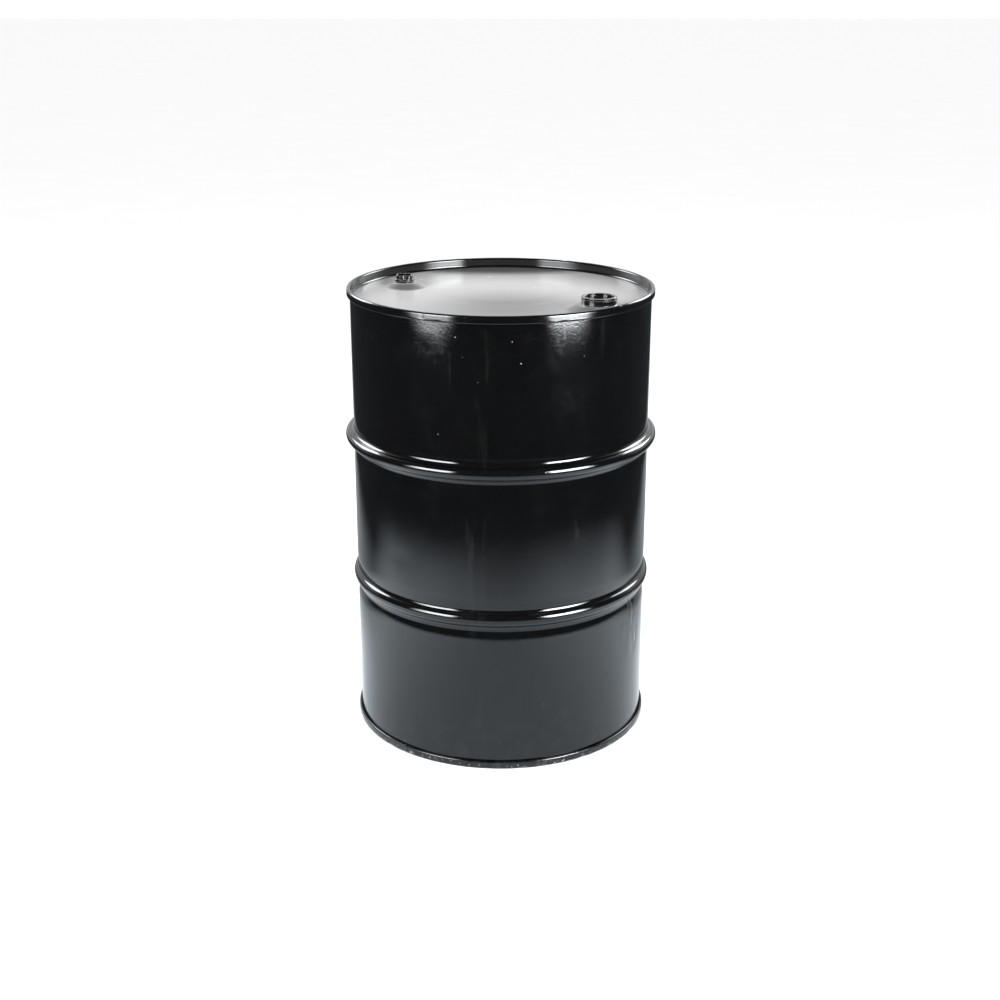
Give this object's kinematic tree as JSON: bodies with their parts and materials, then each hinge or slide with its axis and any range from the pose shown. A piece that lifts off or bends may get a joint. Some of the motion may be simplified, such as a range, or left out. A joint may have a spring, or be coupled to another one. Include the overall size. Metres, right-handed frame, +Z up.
{
  "type": "oil barrel",
  "caption": "Closed black steel drum with two rolling hoops, double-seamed heads and screw plugs in the top head, for storing and shipping oil.",
  "frame": {"origin": "centre of the foot, on the plane that the drum stands on", "axes": "+Z up along the drum's axis, +X is the large plug's side with its axis 30 degrees towards -Y, -Y is the side shown to the viewer"},
  "size_m": [0.6044, 0.6044, 0.876],
  "materials": {
    "body_paint": "gloss black enamel, specked and scuffed",
    "head_paint": "gloss black enamel",
    "fitting_paint": "gloss black enamel over zinc plate",
    "seam_compound": "dull cured latex",
    "flange_rubber": "matte moulded",
    "plug_rubber": "matte moulded"
  },
  "bodies": {
    "drum": {"body_shell": "body_paint", "top_head": "head_paint", "bottom_head": "head_paint", "top_seam_compound": "seam_compound", "bottom_seam_compound": "seam_compound", "large_flange": "fitting_paint", "large_flange_gasket": "flange_rubber", "small_flange": "fitting_paint", "small_flange_gasket": "flange_rubber"},
    "large_plug_seal": {"large_plug_gasket": "plug_rubber"},
    "large_plug": {"large_plug": "fitting_paint"},
    "small_plug_seal": {"small_plug_gasket": "plug_rubber"},
    "small_plug": {"small_plug": "fitting_paint"}
  },
  "joints": [
    {"name": "large_plug_lift", "type": "slide", "parent": "drum", "child": "large_plug_seal", "axis": [0, 0, 1], "range_m": [0, 0.01155]},
    {"name": "large_plug_turn", "type": "hinge", "parent": "large_plug_seal", "child": "large_plug", "pos_m": [0.181, -0.1045, 0.871], "axis": [0, 0, 1], "range_deg": [0, 1800]},
    {"name": "small_plug_lift", "type": "slide", "parent": "drum", "child": "small_plug_seal", "axis": [0, 0, 1], "range_m": [0, 0.00726]},
    {"name": "small_plug_turn", "type": "hinge", "parent": "small_plug_seal", "child": "small_plug", "pos_m": [-0.18966, 0.1095, 0.864], "axis": [0, 0, 1], "range_deg": [0, 1440]}
  ],
  "couplings": [
    {"joint": "large_plug_lift", "follows": "large_plug_turn", "m_per_rad": 0.00036749},
    {"joint": "small_plug_lift", "follows": "small_plug_turn", "m_per_rad": 0.00028871}
  ]
}
